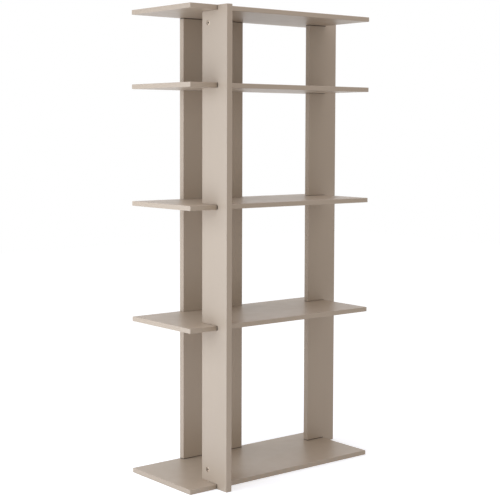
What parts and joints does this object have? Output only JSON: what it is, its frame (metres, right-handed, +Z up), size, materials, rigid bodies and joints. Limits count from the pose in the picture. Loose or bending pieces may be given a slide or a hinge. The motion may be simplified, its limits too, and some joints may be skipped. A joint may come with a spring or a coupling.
{
  "type": "open shelving unit",
  "caption": "Tall open shelving unit of plain lacquered boards: shelves slide into slots of offset uprights, with cam locks at the ends and a wide upright behind.",
  "frame": {"origin": "on the floor, at the middle of the overall box", "axes": "+Z up, +Y towards the back, +X to the right when seen from the front"},
  "size_m": [0.963, 0.439, 1.8],
  "materials": {
    "greige_lacquer": "satin greige lacquer on medium density fibreboard",
    "nickel_plated_zinc": "satin nickel plating on die-cast zinc",
    "zinc_plated_steel": "bright zinc plating on steel",
    "beech": "plain unfinished beech dowel"
  },
  "bodies": {
    "root": {"top_shelf": "greige_lacquer", "upper_shelf": "greige_lacquer", "middle_shelf": "greige_lacquer", "lower_shelf": "greige_lacquer", "bottom_shelf": "greige_lacquer", "front_upright": "greige_lacquer", "side_upright": "greige_lacquer", "rear_upright": "greige_lacquer", "cam_lock_rear_top_left": "nickel_plated_zinc", "cam_lock_rear_top_right": "nickel_plated_zinc", "cam_lock_rear_bottom_left": "nickel_plated_zinc", "cam_lock_rear_bottom_right": "nickel_plated_zinc", "cam_lock_side_top": "nickel_plated_zinc", "cam_lock_side_bottom": "nickel_plated_zinc", "cam_lock_front_top": "nickel_plated_zinc", "cam_lock_front_bottom": "nickel_plated_zinc", "cam_bolt_rear_top_left": "zinc_plated_steel", "cam_bolt_rear_top_right": "zinc_plated_steel", "cam_bolt_rear_bottom_left": "zinc_plated_steel", "cam_bolt_rear_bottom_right": "zinc_plated_steel", "cam_bolt_side_top": "zinc_plated_steel", "cam_bolt_side_bottom": "zinc_plated_steel", "cam_bolt_front_top": "zinc_plated_steel", "cam_bolt_front_bottom": "zinc_plated_steel", "dowel_rear_top_left": "beech", "dowel_rear_top_right": "beech", "dowel_rear_bottom_left": "beech", "dowel_rear_bottom_right": "beech", "dowel_side_top": "beech", "dowel_side_bottom": "beech", "dowel_front_top": "beech", "dowel_front_bottom": "beech", "connecting_screw_lower_shelf_left": "zinc_plated_steel", "connecting_screw_lower_shelf_right": "zinc_plated_steel", "connecting_screw_middle_shelf_left": "zinc_plated_steel", "connecting_screw_middle_shelf_right": "zinc_plated_steel", "connecting_screw_upper_shelf_left": "zinc_plated_steel", "connecting_screw_upper_shelf_right": "zinc_plated_steel"}
  },
  "joints": []
}
